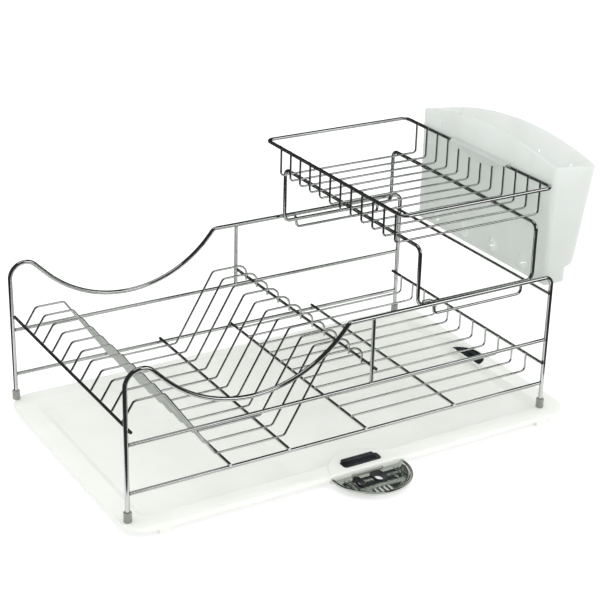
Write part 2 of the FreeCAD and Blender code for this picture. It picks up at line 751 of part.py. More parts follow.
def add_holder_openings(body):
    """Drain ovals low in the inner wall, small holes in both walls, and slots in the floor."""
    wall = "sheet.holder_wall"
    face = new_sketch(body, "oval_holes", "YZ_Plane",
                      "sheet.holder_inner_x + 2 * " + wall)
    for place in (-1.5, -0.5, 0.5, 1.5):
        slot_outline(face, ("%s * sheet.oval_pitch" % place, "sheet.oval_level"),
                     "sheet.oval_width / 2", "sheet.oval_height / 2")
    pocket(body, "ovals", face, "3 * " + wall)
    hanging = [hand + "sheet.hang_hole_reach" for hand in ("-", "")]
    holes = round_holes(body, "hanging_holes", hanging, "sheet.hang_hole_level")
    pocket(body, "hang", holes, "3 * " + wall)
    behind = ["%s * sheet.back_hole_pitch" % place for place in (-1.5, -0.5, 0.5, 1.5)]
    back = round_holes(body, "back_holes", behind, "sheet.back_hole_level")
    pocket(body, "back", back, "sheet.holder_outer_x - sheet.holder_inner_x", reverse=True)
    floor = new_sketch(body, "floor_slots", "XY_Plane", "sheet.holder_bottom + 2 * " + wall)
    middle_x = "(sheet.holder_inner_x + sheet.holder_base_x) / 2"
    rows = int((value("sheet.holder_width") - value("sheet.slot_length"))
               // value("sheet.slot_pitch"))
    for row in range(rows):
        level = "(%s - %s) * sheet.slot_pitch" % (row, (rows - 1) / 2)
        low_x = middle_x + " - sheet.slot_length / 2"
        high_x = middle_x + " + sheet.slot_length / 2"
        across_slot(floor, low_x, high_x, level, "sheet.slot_width / 2")
    pocket(body, "drain_slots", floor, "3 * " + wall)


def round_holes(body, name, places, level):
    """A row of small round holes, drawn just inside the holder's inner wall."""
    sketch = new_sketch(body, name, "YZ_Plane", "sheet.holder_inner_x + 2 * sheet.holder_wall")
    radius = "sheet.hang_hole / 2"
    for place in places:
        centre = Vector(value(place), value(level), 0)
        hole = sketch.addGeometry(Part.Circle(centre, Vector(0, 0, 1), value(radius)), False)
        pin_point(sketch, hole, 3, (place, level))
        size = sketch.addConstraint(Sketcher.Constraint("Radius", hole, value(radius)))
        sketch.setExpression("Constraints[%d]" % size, radius)
    return sketch


def across_slot(sketch, low_x, high_x, level, half_width):
    """A slot along X with round ends."""
    radius = value(half_width)
    left = Vector(value(low_x) + radius, value(level), 0)
    right = Vector(value(high_x) - radius, value(level), 0)
    side = Vector(0, radius, 0)
    end = Vector(radius, 0, 0)
    top = sketch.addGeometry(Part.LineSegment(right + side, left + side), False)
    bottom = sketch.addGeometry(Part.LineSegment(left - side, right - side), False)
    left_arc = sketch.addGeometry(Part.Arc(left + side, left - end, left - side), False)
    right_arc = sketch.addGeometry(Part.Arc(right - side, right + end, right + side), False)
    for line, line_end, arc, arc_end in ((top, 2, left_arc, 1), (bottom, 1, left_arc, 2),
                                         (bottom, 2, right_arc, 1), (top, 1, right_arc, 2)):
        sketch.addConstraint(Sketcher.Constraint("Tangent", line, line_end, arc, arc_end))
    pin_point(sketch, top, 2, ("%s + %s" % (low_x, half_width), "%s + %s" % (level, half_width)))
    pin_point(sketch, top, 1, ("%s - %s" % (high_x, half_width), "%s + %s" % (level, half_width)))
    size = sketch.addConstraint(Sketcher.Constraint("Radius", left_arc, radius))
    sketch.setExpression("Constraints[%d]" % size, half_width)


cutlery_holder()

# ---------------------------------------------------------------- drip tray

FULL_OUTLINE = "0"
FLOOR_UNDERSIDE = "-(sheet.basin_depth + sheet.tray_wall)"


def tray_rectangle(body, name, level, inset, radius):
    """The tray's outline, moved inwards by an inset, at a level."""
    sketch = new_sketch(body, name, "XY_Plane", level)
    return rounded_rectangle(
        sketch, "(sheet.tray_left + %s)" % inset, "(sheet.tray_front + %s)" % inset,
        "(sheet.tray_left + sheet.tray_length - %s)" % inset,
        "(sheet.tray_front + sheet.tray_depth - %s)" % inset, radius)


def half_disc(body, name, level, radius, crown_side, back="sheet.tray_front"):
    """The part of the spout's circle on one side of a line along the tray's front edge."""
    chord = "sqrt((%s) ^ 2 - (%s - sheet.spout_center_y) ^ 2)" % (radius, back)
    sketch = new_sketch(body, name, "XY_Plane", level)
    return arched_outline(
        sketch, ("sheet.spout_x - " + chord, back),
        ("sheet.spout_x", "sheet.spout_center_y %s (%s)" % (crown_side, radius)),
        ("sheet.spout_x + " + chord, back), [])


def plug_outline(body, name, level, grow):
    """The end plug's D shape, grown all round by an amount."""
    sketch = new_sketch(body, name, "XY_Plane", level)
    chord_x = "sheet.plug_chord_x - (%s)" % grow
    reach = "sheet.plug_chord_x + sheet.plug_reach + (%s)" % grow
    half = "(sheet.plug_width / 2 + (%s))" % grow
    return arched_outline(sketch, (chord_x, "sheet.plug_y - " + half), (reach, "sheet.plug_y"),
                          (chord_x, "sheet.plug_y + " + half), [])


def box_outline(body, name, level, centre, length, width):
    """A plain rectangle about a centre."""
    middle_x, middle_y = centre
    left = "%s - (%s) / 2" % (middle_x, length)
    right = "%s + (%s) / 2" % (middle_x, length)
    front = "%s - (%s) / 2" % (middle_y, width)
    back = "%s + (%s) / 2" % (middle_y, width)
    return outline_sketch(body, name, "XY_Plane",
                          [(left, front), (right, front), (right, back), (left, back)], level)


def gate_outline(body, name, level, grow):
    """The front gate's round-ended outline, grown all round by an amount."""
    sketch = new_sketch(body, name, "XY_Plane", level)
    half_length = "(sheet.gate_width / 2 + (%s))" % grow
    across_slot(sketch, "sheet.spout_x - " + half_length, "sheet.spout_x + " + half_length,
                "sheet.gate_y", "(sheet.gate_depth / 2 + (%s))" % grow)
    return sketch


def loft(body, name, kind, top, bottom):
    """Joins two outlines with sloped sides, adding or taking away."""
    feature = body.newObject("PartDesign::" + kind, name)
    feature.Profile = top
    feature.Sections = [bottom]
    feature.Ruled = True
    body.Tip = feature


def drip_tray():
    """A shallow basin with a flat border for the rack's feet and wells for the drain plugs."""
    body = doc.addObject("PartDesign::Body", "drip_tray")
    body.Label = "drip_tray"
    rim = tray_rectangle(body, "rim_outline", "-sheet.skirt_height", FULL_OUTLINE,
                         "sheet.tray_radius")
    pad(body, "rim", rim, "sheet.skirt_height")
    under = tray_rectangle(body, "under_outline", "-sheet.skirt_height", "sheet.tray_wall",
                           "sheet.tray_radius - sheet.tray_wall")
    pocket(body, "under_border", under, "sheet.skirt_height - sheet.tray_wall", reverse=True)
    shell_top = tray_rectangle(body, "shell_top", "0", "(sheet.border_width - sheet.tray_wall)",
                               "sheet.basin_radius + sheet.tray_wall")
    shell_foot = tray_rectangle(
        body, "shell_foot", FLOOR_UNDERSIDE,
        "(sheet.border_width + sheet.basin_slope - sheet.tray_wall)", "sheet.basin_radius")
    loft(body, "basin_shell", "AdditiveLoft", shell_top, shell_foot)
    basin_top = tray_rectangle(body, "basin_top", "0", "sheet.border_width", "sheet.basin_radius")
    basin_foot = tray_rectangle(body, "basin_foot", "-sheet.basin_depth",
                                "(sheet.border_width + sheet.basin_slope)",
                                "sheet.basin_radius - sheet.tray_wall")
    add_basin(body, basin_top, basin_foot)
    add_tray_feet(body)
    add_drain_wells(body)
    locate(body)
    keep(body, "drip_tray")


def add_basin(body, basin_top, basin_foot):
    """Hollows the basin, then adds the half-round lobe that stands in it at the front."""
    loft(body, "basin", "SubtractiveLoft", basin_top, basin_foot)
    lobe = half_disc(body, "lobe_outline", FLOOR_UNDERSIDE, "sheet.spout_radius", "+")
    pad(body, "lobe", lobe, "sheet.basin_depth + sheet.tray_wall + sheet.lobe_height")


def add_tray_feet(body):
    """Four short feet under the border, a little way in from the corners."""
    reach_x = "(sheet.tray_length / 2 - sheet.tray_foot_inset - sheet.tray_foot_length / 2)"
    reach_y = "(sheet.tray_depth / 2 - sheet.tray_wall - sheet.tray_foot_width / 2)"
    for hand_x in ("-", "+"):
        for hand_y in ("-", "+"):
            centre = ("sheet.tray_left + sheet.tray_length / 2 %s %s" % (hand_x, reach_x),
                      "sheet.tray_front + sheet.tray_depth / 2 %s %s" % (hand_y, reach_y))
            name = "foot_%s%s" % ("left" if hand_x == "-" else "right",
                                  "_near" if hand_y == "-" else "_far")
            square = box_outline(body, name + "_outline", "-sheet.base_height", centre,
                                 "sheet.tray_foot_length", "sheet.tray_foot_width")
            pad(body, name, square, "sheet.base_height - sheet.tray_wall / 2")


def add_drain_wells(body):
    """Shallow wells for the gate and the end plug, and a socket for the spout's tongue."""
    gate_well = gate_outline(body, "gate_well_outline", "sheet.lobe_height", "sheet.well_gap")
    pocket(body, "gate_well", gate_well, "sheet.well_depth + sheet.lobe_height")
    block = plug_outline(body, "plug_block_outline", "-sheet.skirt_height",
                         "sheet.plug_well_wall")
    pad(body, "plug_block", block, "sheet.skirt_height")
    plug_well = plug_outline(body, "plug_well_outline", "0", "sheet.well_gap")
    pocket(body, "plug_well", plug_well, "sheet.well_depth")
    socket = tongue_outline(body, "socket_outline")
    pocket(body, "socket", socket, "sheet.tongue_thickness", reverse=True)


def tongue_outline(body, name):
    """The spout's tongue, seen from above, behind the tray's front edge."""
    return box_outline(body, name, "sheet.tongue_level",
                       ("sheet.spout_x", "sheet.tray_front + sheet.tongue_length / 2"),
                       "sheet.tongue_width", "sheet.tongue_length")


drip_tray()

# ---------------------------------------------------------------- drain spout, gate and plug

def drain_spout():
    """A half-round dish that carries the water out over a sink, held by a tongue."""
    body = doc.addObject("PartDesign::Body", "drain_spout")
    body.Label = "drain_spout"
    top = "-sheet.spout_drop"
    underside = "-sheet.spout_drop - sheet.spout_thickness"
    disc = half_disc(body, "disc_outline", underside, "sheet.spout_radius", "-")
    pad(body, "disc", disc, "sheet.spout_thickness")
    tongue = tongue_outline(body, "tongue_outline")
    pad(body, "tongue", tongue, "sheet.tongue_thickness")
    dish = half_disc(body, "dish_outline", top, "sheet.spout_radius - sheet.spout_rim", "-")
    pocket(body, "dish", dish, "sheet.spout_dish")
    holes = new_sketch(body, "hole_outlines", "XY_Plane", top)
    slot_outline(holes, ("sheet.small_hole_x", "sheet.small_hole_y"),
                 "sheet.small_hole_width / 2", "sheet.small_hole_length / 2")
    slot_outline(holes, ("sheet.large_hole_x", "sheet.large_hole_y"),
                 "sheet.large_hole_width / 2", "sheet.large_hole_length / 2")
    for place in (-1.5, -0.5, 0.5, 1.5):
        slot_outline(holes, ("sheet.grid_x + %s * sheet.grid_pitch" % place, "sheet.grid_y"),
                     "sheet.grid_slot_width / 2", "sheet.grid_slot_length / 2")
    pocket(body, "holes", holes, "sheet.spout_thickness")
    locate(body)
    keep(body, "drain_spout")


def front_drain_gate():
    """A rubber plug with a grip rib, which closes the outlet over the spout."""
    body = doc.addObject("PartDesign::Body", "front_drain_gate")
    body.Label = "front_drain_gate"
    top = "(sheet.lobe_height + sheet.gate_proud)"
    plug = gate_outline(body, "plug_outline", "-sheet.well_depth", "0")
    pad(body, "plug", plug, "sheet.well_depth + " + top)
    rib = box_outline(body, "rib_outline", top,
                      ("sheet.spout_x",
                       "sheet.gate_y + sheet.gate_depth / 2 - sheet.gate_rib_depth"),
                      "sheet.gate_rib_width", "sheet.gate_rib_depth")
    pad(body, "rib", rib, "sheet.gate_rib_height")
    locate(body)
    keep(body, "front_drain_gate")


def end_drain_plug():
    """A D-shaped rubber plug with a finger tab, for the outlet at the tray's end."""
    body = doc.addObject("PartDesign::Body", "end_drain_plug")
    body.Label = "end_drain_plug"
    outline = plug_outline(body, "plug_outline", "-sheet.well_depth", "0")
    pad(body, "plug", outline, "sheet.well_depth + sheet.gate_proud")
    tab = box_outline(body, "tab_outline", "sheet.gate_proud",
                      ("sheet.plug_chord_x + sheet.plug_tab_reach", "sheet.plug_y"),
                      "sheet.gate_rib_depth", "sheet.plug_tab_width")
    pad(body, "tab", tab, "sheet.gate_rib_height")
    locate(body)
    keep(body, "end_drain_plug")


drain_spout()
front_drain_gate()
end_drain_plug()

# ---------------------------------------------------------------- checks and export

doc.recompute()
os.makedirs("parts", exist_ok=True)
for thing in doc.Objects:
    if "Invalid" in thing.State or "Error" in thing.State:
        raise RuntimeError("%s failed: %s" % (thing.Label, thing.State))
for thing in SUB_PARTS:
    if thing.Shape.isNull() or not thing.Shape.isValid():
        raise RuntimeError("%s has no valid shape" % thing.Label)
for thing in SUB_PARTS:
    thing.Shape.exportStep("parts/%s.step" % thing.Label)
print("%d sub-parts written" % len(SUB_PARTS))
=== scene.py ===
import bmesh
import bpy
import math
from mathutils import Matrix, Vector
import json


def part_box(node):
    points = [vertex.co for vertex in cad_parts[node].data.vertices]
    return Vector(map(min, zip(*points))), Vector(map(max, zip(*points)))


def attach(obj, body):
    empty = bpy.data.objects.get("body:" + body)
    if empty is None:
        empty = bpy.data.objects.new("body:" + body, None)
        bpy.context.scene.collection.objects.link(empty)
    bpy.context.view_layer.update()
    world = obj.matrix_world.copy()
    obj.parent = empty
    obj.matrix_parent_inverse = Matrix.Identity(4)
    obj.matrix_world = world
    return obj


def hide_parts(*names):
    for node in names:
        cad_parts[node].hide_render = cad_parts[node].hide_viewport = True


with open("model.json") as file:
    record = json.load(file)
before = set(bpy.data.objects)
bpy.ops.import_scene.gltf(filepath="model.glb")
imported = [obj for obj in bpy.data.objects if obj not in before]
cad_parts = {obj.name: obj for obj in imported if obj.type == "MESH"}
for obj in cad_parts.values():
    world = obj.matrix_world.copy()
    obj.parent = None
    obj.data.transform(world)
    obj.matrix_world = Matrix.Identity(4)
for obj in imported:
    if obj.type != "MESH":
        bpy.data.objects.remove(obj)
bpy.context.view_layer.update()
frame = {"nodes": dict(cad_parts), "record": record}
scene = bpy.context.scene

# ---------------------------------------------------------------- materials


def linked(tree, kind, name, settings=None, **inputs):
    """A node with its settings and its inputs: numbers, colours, or another node's socket."""
    node = tree.nodes.new(kind)
    node.label = name
    for key, setting in (settings or {}).items():
        setattr(node, key, setting)
    for key, given in inputs.items():
        socket = node.inputs[key.replace("_", " ")]
        if isinstance(given, bpy.types.NodeSocket):
            tree.links.new(given, socket)
        else:
            socket.default_value = given
    return node


def blank_material(name):
    """A material with a Principled shader, and the place on the surface as a vector."""
    material = bpy.data.materials.new(name)
    material.use_nodes = True
    tree = material.node_tree
    shader = next(n for n in tree.nodes if n.type == "BSDF_PRINCIPLED")
    place = linked(tree, "ShaderNodeTexCoord", "place").outputs["Object"]
    return material, tree, shader, place


def noise(tree, place, scale, detail=3.0, roughness=0.5):
    """Cloudy noise at a scale in cycles per metre."""
    node = linked(tree, "ShaderNodeTexNoise", "noise", Vector=place, Scale=scale,
                  Detail=detail, Roughness=roughness)
    return node.outputs["Fac"]


def spread(tree, source, low, high, start=0.3, end=0.7):
    """Stretches a noise value to run from low to high."""
    node = linked(tree, "ShaderNodeMapRange", "spread", {"clamp": True}, Value=source,
                  From_Min=start, From_Max=end, To_Min=low, To_Max=high)
    return node.outputs["Result"]


def tones(tree, source, first, second, start=0.3, end=0.7):
    """Runs from one colour to another as a noise value rises."""
    ramp = linked(tree, "ShaderNodeValToRGB", "tones", Fac=source)
    ramp.color_ramp.elements[0].position = start
    ramp.color_ramp.elements[0].color = (*first, 1)
    ramp.color_ramp.elements[1].position = end
    ramp.color_ramp.elements[1].color = (*second, 1)
    return ramp.outputs["Color"]


def bumped(tree, shader, height, strength, distance):
    """Gives a shader a bump from a height."""
    bump = linked(tree, "ShaderNodeBump", "bump", Height=height, Strength=strength,
                  Distance=distance)
    tree.links.new(bump.outputs["Normal"], shader.inputs["Normal"])


def chrome(name, dark, light, polish, dull, edge):
    """Bright plating: slightly uneven in tone and polish, with the drawn wire's faint waviness."""
    material, tree, shader, place = blank_material(name)
    shader.inputs["Metallic"].default_value = 1.0
    shader.inputs["Specular Tint"].default_value = (edge, edge, edge, 1)
    cloud = noise(tree, place, 35.0, 4.0)
    tree.links.new(tones(tree, cloud, dark, light), shader.inputs["Base Color"])
    haze = noise(tree, place, 160.0, 6.0, 0.6)
    tree.links.new(spread(tree, haze, polish, dull), shader.inputs["Roughness"])
    bumped(tree, shader, noise(tree, place, 420.0, 2.0), 0.12, 0.0002)
    return material


def frosted(name, pale, deep, see_through, haze, clear_share):
    """Milky plastic, cloudy and grained: one share of the light passes diffused, one clear."""
    material, tree, shader, place = blank_material(name)
    cloud = noise(tree, place, 18.0, 4.0)
    shade = tones(tree, cloud, deep, pale)
    tree.links.new(shade, shader.inputs["Base Color"])
    grain = noise(tree, place, 900.0, 5.0, 0.65)
    tree.links.new(spread(tree, grain, haze - 0.06, haze + 0.08), shader.inputs["Roughness"])
    shader.inputs["IOR"].default_value = 1.49
    shader.inputs["Specular IOR Level"].default_value = 0.25
    bumped(tree, shader, grain, 0.2, 0.0002)
    output = next(n for n in tree.nodes if n.type == "OUTPUT_MATERIAL")
    through = linked(tree, "ShaderNodeBsdfTranslucent", "light through", Color=shade)
    milky = linked(tree, "ShaderNodeMixShader", "milky", Fac=see_through)
    tree.links.new(shader.outputs["BSDF"], milky.inputs[1])
    tree.links.new(through.outputs["BSDF"], milky.inputs[2])
    tree.links.new(milky.outputs["Shader"], output.inputs["Surface"])
    if clear_share:
        clear = linked(tree, "ShaderNodeBsdfTransparent", "thin wall", Color=(0.97, 0.98, 0.97, 1))
        thin = linked(tree, "ShaderNodeMixShader", "thin", Fac=clear_share)
        tree.links.new(milky.outputs["Shader"], thin.inputs[1])
        tree.links.new(clear.outputs["BSDF"], thin.inputs[2])
        tree.links.new(thin.outputs["Shader"], output.inputs["Surface"])
    return material


def rubber(name):
    """Satin moulded rubber with a fine grain and a faintly dusty tone."""
    material, tree, shader, place = blank_material(name)
    cloud = noise(tree, place, 60.0, 4.0)
    tree.links.new(tones(tree, cloud, (0.010, 0.012, 0.015), (0.03, 0.034, 0.04)),
                   shader.inputs["Base Color"])
    grain = noise(tree, place, 1800.0, 4.0, 0.6)
    tree.links.new(spread(tree, grain, 0.34, 0.55), shader.inputs["Roughness"])
    bumped(tree, shader, grain, 0.3, 0.0002)
    return material


MATERIALS = {
    "chrome_frame_wire": chrome("polished_chrome_frame", (0.50, 0.52, 0.505), (0.60, 0.62, 0.605),
                                0.05, 0.12, 0.35),
    "chrome_thin_wire": chrome("polished_chrome_thin", (0.48, 0.50, 0.485), (0.58, 0.60, 0.585),
                               0.06, 0.14, 0.35),
    "chromed_spout": chrome("mirror_spout", (0.50, 0.53, 0.49), (0.66, 0.69, 0.64), 0.03, 0.08,
                            0.6),
    "frosted_tray_plastic": frosted("frosted_tray", (0.895, 0.905, 0.875), (0.865, 0.88, 0.84),
                                    0.25, 0.42, 0.0),
    "frosted_holder_plastic": frosted("frosted_holder", (0.81, 0.83, 0.815),
                                      (0.77, 0.79, 0.77), 0.55, 0.45, 0.2),
    "clear_cap_plastic": frosted("clear_cap", (0.46, 0.48, 0.45), (0.38, 0.40, 0.37), 0.40, 0.3,
                                 0.15),
    "black_rubber": rubber("black_rubber"),
}

SLOT_OF = {part["node"]: part["material_slot"] for part in frame["record"]["subparts"]}
for node_name, node in frame["nodes"].items():
    node.data.materials.clear()
    node.data.materials.append(MATERIALS[SLOT_OF[node_name]])

# ---------------------------------------------------------------- mesh tools
# Shapes are drawn in the rack's own millimetres: zero is the near left leg's centre, on top
# of the tray's border.

WORKTOP = -12.0
ORIGIN = Vector((287.3, 117.0, WORKTOP))
NEAR, FAR = 0.0, 300.0
ROW_OF_FOUR = (-1.5, -0.5, 0.5, 1.5)


def skin(loops):
    """A closed solid from loops of equal length, from the first, underneath, to the last."""
    count = len(loops[0])
    points = [point for loop in loops for point in loop]
    faces = [list(reversed(range(count)))]
    for level in range(len(loops) - 1):
        low, high = level * count, (level + 1) * count
        for index in range(count):
            after = (index + 1) % count
            faces.append([low + index, low + after, high + after, high + index])
    faces.append([high + index for index in range(count)])
    return points, faces


def solid(name, points, faces):
    """A mesh object from points in millimetres and the faces between them."""
    mesh = bpy.data.meshes.new(name)
    mesh.from_pydata([(Vector(point) - ORIGIN) / 1000 for point in points], [], faces)
    thing = bpy.data.objects.new(name, mesh)
    scene.collection.objects.link(thing)
    return thing


def carve(thing, kind, tools):
    """Joins tools to a solid, or cuts them out of it, and leaves one plain mesh."""
    for tool in tools:
        step = thing.modifiers.new(kind, "BOOLEAN")
        step.operation = kind
        step.solver = "EXACT"
        step.object = tool
    bpy.context.view_layer.update()
    shaped = thing.evaluated_get(bpy.context.evaluated_depsgraph_get())
    mesh = bpy.data.meshes.new_from_object(shaped)
    thing.modifiers.clear()
    thing.data = mesh
    for tool in tools:
        bpy.data.objects.remove(tool)


def finished(thing, body, slot_name, *nodes, angle=35.0):
    """Shades a piece, gives it its finish, and lets it ride on its body."""
    clean = bmesh.new()
    clean.from_mesh(thing.data)
    bmesh.ops.remove_doubles(clean, verts=clean.verts, dist=0.000002)
    bmesh.ops.dissolve_degenerate(clean, dist=0.000002, edges=clean.edges)
    clean.to_mesh(thing.data)
    clean.free()
    thing.data.shade_smooth()
    thing.data.set_sharp_from_angle(angle=math.radians(angle))
    thing.data.materials.clear()
    thing.data.materials.append(MATERIALS[slot_name])
    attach(thing, body)
    if nodes:
        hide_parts(*nodes)


def rounded_loop(left, front, right, back, radius, steps=8, sides=1):
    """Points round a rectangle with rounded corners, counter-clockwise."""
    corners = ((right - radius, front + radius, -90), (right - radius, back - radius, 0),
               (left + radius, back - radius, 90), (left + radius, front + radius, 180))
    ring = []
    for index, (x, y, first) in enumerate(corners):
        turns = [math.radians(first + 90 * step / steps) for step in range(steps + 1)]
        ring += [(x + radius * math.cos(turn), y + radius * math.sin(turn)) for turn in turns]
        next_x, next_y, next_first = corners[(index + 1) % 4]
        turn = math.radians(next_first)
        goal = (next_x + radius * math.cos(turn), next_y + radius * math.sin(turn))
        start = ring[-1]
        for step in range(1, sides + 1):
            share = step / (sides + 1)
            ring.append((start[0] + (goal[0] - start[0]) * share,
                         start[1] + (goal[1] - start[1]) * share))
    return ring


def arc_loop(centre_x, centre_y, radius, first, last, steps=40):
    """Points along an arc between two angles in degrees; the chord closes them."""
    turns = [math.radians(first + (last - first) * step / steps) for step in range(steps + 1)]
    return [(centre_x + radius * math.cos(turn), centre_y + radius * math.sin(turn))
            for turn in turns]


def inset(ring, amount):
    """A counter-clockwise outline moved inwards by an amount."""
    moved = []
    for index, point in enumerate(ring):
        before, after = Vector(ring[index - 1]), Vector(ring[(index + 1) % len(ring)])
        here = Vector(point)
        came, goes = (here - before).normalized(), (after - here).normalized()
        middle = Vector((-came.y - goes.y, came.x + goes.x)).normalized()
        miter = amount / max(0.5, middle.dot(Vector((-came.y, came.x))))
        moved.append((here.x + middle.x * miter, here.y + middle.y * miter))
    return moved


FILLET = ((1.0, 0.0), (0.617, 0.076), (0.293, 0.293), (0.076, 0.617), (0.0, 1.0))


def rounded_prism(name, ring, low, high, top_radius, low_radius=0.3):
    """An upright solid over an outline, with its top and bottom edges rounded over."""
    loops = []
    for aside, up in FILLET:
        loops.append([(x, y, low + up * low_radius) for x, y in inset(ring, aside * low_radius)])
    for aside, up in reversed(FILLET):
        loops.append([(x, y, high - up * top_radius) for x, y in inset(ring, aside * top_radius)])
    return solid(name, *skin(loops))


def ring_width(ring):
    """How far an outline reaches along X."""
    places = [x for x, y in ring]
    return max(places) - min(places)


def along_x(name, ring, low, high):
    """A cutter along X over an outline in Y and Z."""
    loops = [[(x, y, z) for y, z in ring] for x in (low, high)]
    return solid(name, *skin(loops))


def lathe(name, centre, profile, steps=40):
    """A turned solid: the profile runs in radius and height from underneath round to the top."""
    loops = []
    for radius, height in profile:
        loops.append([(centre[0] + radius * math.cos(2 * math.pi * step / steps),
                       centre[1] + radius * math.sin(2 * math.pi * step / steps), height)
                      for step in range(steps)])
    return solid(name, *skin(loops))


# ---------------------------------------------------------------- drip tray

TRAY = (-8.4, -22.0, 549.6, 307.0)
SPOUT_X, SPOUT_Y, SPOUT_R = 270.0, -27.0, 46.0
WELL_FLOOR, WELL_GAP = -3.9, 0.3
PART_FOOT = -3.8
# each step of the section: inset from the outline, height, corner radius
TRAY_SECTION = (
    (158.0, -9.6, 1.0), (33.0, -9.0, 10.0), (31.0, -8.6, 11.0),
    (22.6, -2.6, 15.0), (21.0, -2.0, 16.0), (2.4, -2.0, 22.6), (2.0, -2.4, 23.0),
    (2.0, -4.6, 23.0), (1.6, -5.0, 23.4), (0.5, -5.0, 24.5), (0.1, -4.8, 24.9),
    (0.0, -4.4, 25.0), (0.0, -1.3, 25.0), (0.12, -0.7, 24.9), (0.45, -0.25, 24.6),
    (1.1, 0.0, 24.0), (21.6, 0.0, 15.5), (22.6, -0.15, 15.0), (23.6, -0.75, 14.0),
    (29.8, -6.1, 12.4), (30.9, -6.75, 11.9), (32.2, -6.95, 11.2), (34.0, -7.0, 10.0),
    (157.0, -7.9, 1.0),
)


def lobe_outline(grow, chord):
    """The half-round lobe or spout about the tray's front, on either side of a chord."""
    radius = SPOUT_R + grow
    lean = math.degrees(math.asin((chord - SPOUT_Y) / radius))
    return arc_loop(SPOUT_X, SPOUT_Y, radius, lean, 180 - lean, 48)


def gate_outline(grow):
    """The front gate's outline: a long bar with rounded corners."""
    half, deep = 23.5 + grow, 6.7 + grow
    return rounded_loop(SPOUT_X - half, -7.9 - deep, SPOUT_X + half, -7.9 + deep,
                        3.6 + grow, 10)


def plug_outline(grow):
    """The end plug's D: straight towards the basin, bulging towards the tray's end."""
    half, reach = 27.0 + grow, 20.5 + 2 * grow
    radius = (half * half + reach * reach) / (2 * reach)
    lean = math.degrees(math.asin(half / radius))
    return arc_loop(524.0 - grow + reach - radius, 148.7, radius, -lean, lean, 36)


def tray():
    """The basin with its border, lobe, feet and wells, rounded as moulded plastic is."""
    left, front, right, back = TRAY
    loops = []
    for aside, height, radius in TRAY_SECTION:
        ring = rounded_loop(left + aside, front + aside, right - aside, back - aside, radius, 10)
        loops.append([(x, y, height) for x, y in ring])
    shell = solid("drip_tray_body", *skin(loops))
    lobe = rounded_prism("lobe", lobe_outline(0.0, -21.95), -9.3, 0.8, 2.4)
    block = rounded_prism("plug_block", plug_outline(2.0), -5.0, 0.3, 1.2)
    feet = []
    for x in (left + 40.9, right - 40.9):
        for y in (front + 6.0, back - 6.0):
            feet.append(rounded_prism("foot", rounded_loop(x - 7.5, y - 4, x + 7.5, y + 4, 1.5),
                                      WORKTOP, -1.0, 0.3, 0.9))
    carve(shell, "UNION", [lobe, block] + feet)
    gate_well = rounded_prism("gate_well", gate_outline(WELL_GAP), WELL_FLOOR, 2.0, 0.2, 0.5)
    plug_well = rounded_prism("plug_well", plug_outline(WELL_GAP), WELL_FLOOR, 2.0, 0.2, 0.5)
    socket = rounded_prism("socket", rounded_loop(249.9, -30.0, 290.1, -15.9, 0.5), -7.1,
                           WELL_FLOOR, 0.1, 0.1)
    carve(shell, "DIFFERENCE", [gate_well, plug_well, socket])
    finished(shell, "drip_tray", "frosted_tray_plastic", "drip_tray")


def gate():
    """The rubber gate: a round-ended bar with a raised rear rib and a stepped right end."""
    bar = rounded_prism("front_gate", gate_outline(0.0), PART_FOOT, 1.9, 0.9)
    rib = rounded_prism("rib", rounded_loop(247.6, -7.2, 288.0, -1.7, 2.0), 0.4, 5.0, 1.5)
    step = rounded_prism("step", rounded_loop(286.0, -13.6, 292.6, -4.0, 1.8), 0.4, 3.2, 1.0)
    carve(bar, "UNION", [rib, step])
    groove = rounded_prism("groove", rounded_loop(249.6, -12.6, 285.0, -8.3, 1.7), 0.7, 3.0, 0.2,
                           0.5)
    carve(bar, "DIFFERENCE", [groove])
    finished(bar, "front_drain_gate", "black_rubber", "front_drain_gate")


def plug():
    """The rubber D plug with its finger tab and a shallow moulded ring."""
    disc = rounded_prism("end_plug", plug_outline(-0.05), PART_FOOT, 1.2, 0.8)
    dish = rounded_prism("dish", plug_outline(-3.2), 0.5, 2.4, 0.2, 0.4)
    carve(disc, "DIFFERENCE", [dish])
    tab = rounded_prism("tab", rounded_loop(531.1, 138.8, 534.9, 158.6, 1.7), 0.0, 4.2, 1.4)
    carve(disc, "UNION", [tab])
    finished(disc, "end_drain_plug", "black_rubber", "end_drain_plug")


# each step of a turned section: radius, height
SPOUT_SECTION = (
    (24.0, -8.5), (37.0, -8.3), (42.2, -7.4), (45.0, -5.7), (45.9, -4.4), (46.0, -3.6),
    (45.7, -2.9), (45.0, -2.5), (44.0, -2.4),
)
BOWL_SECTION = (
    (38.0, -6.0), (39.6, -5.9), (40.8, -5.5), (41.8, -4.7), (42.6, -3.5), (43.4, -2.6),
    (44.4, -2.0),
)
STUD_PLACE = (292.0, -45.0)
STUD_SECTION = ((3.0, -7.0), (3.0, -5.4), (2.8, -4.9), (2.2, -4.5), (1.1, -4.25))
SPOUT_CHORD = -22.1
RIDGE_PLACES = (237.5, 243.0, 300.0, 304.5)
STRAINER_X, STRAINER_PITCH = 266.0, 5.5


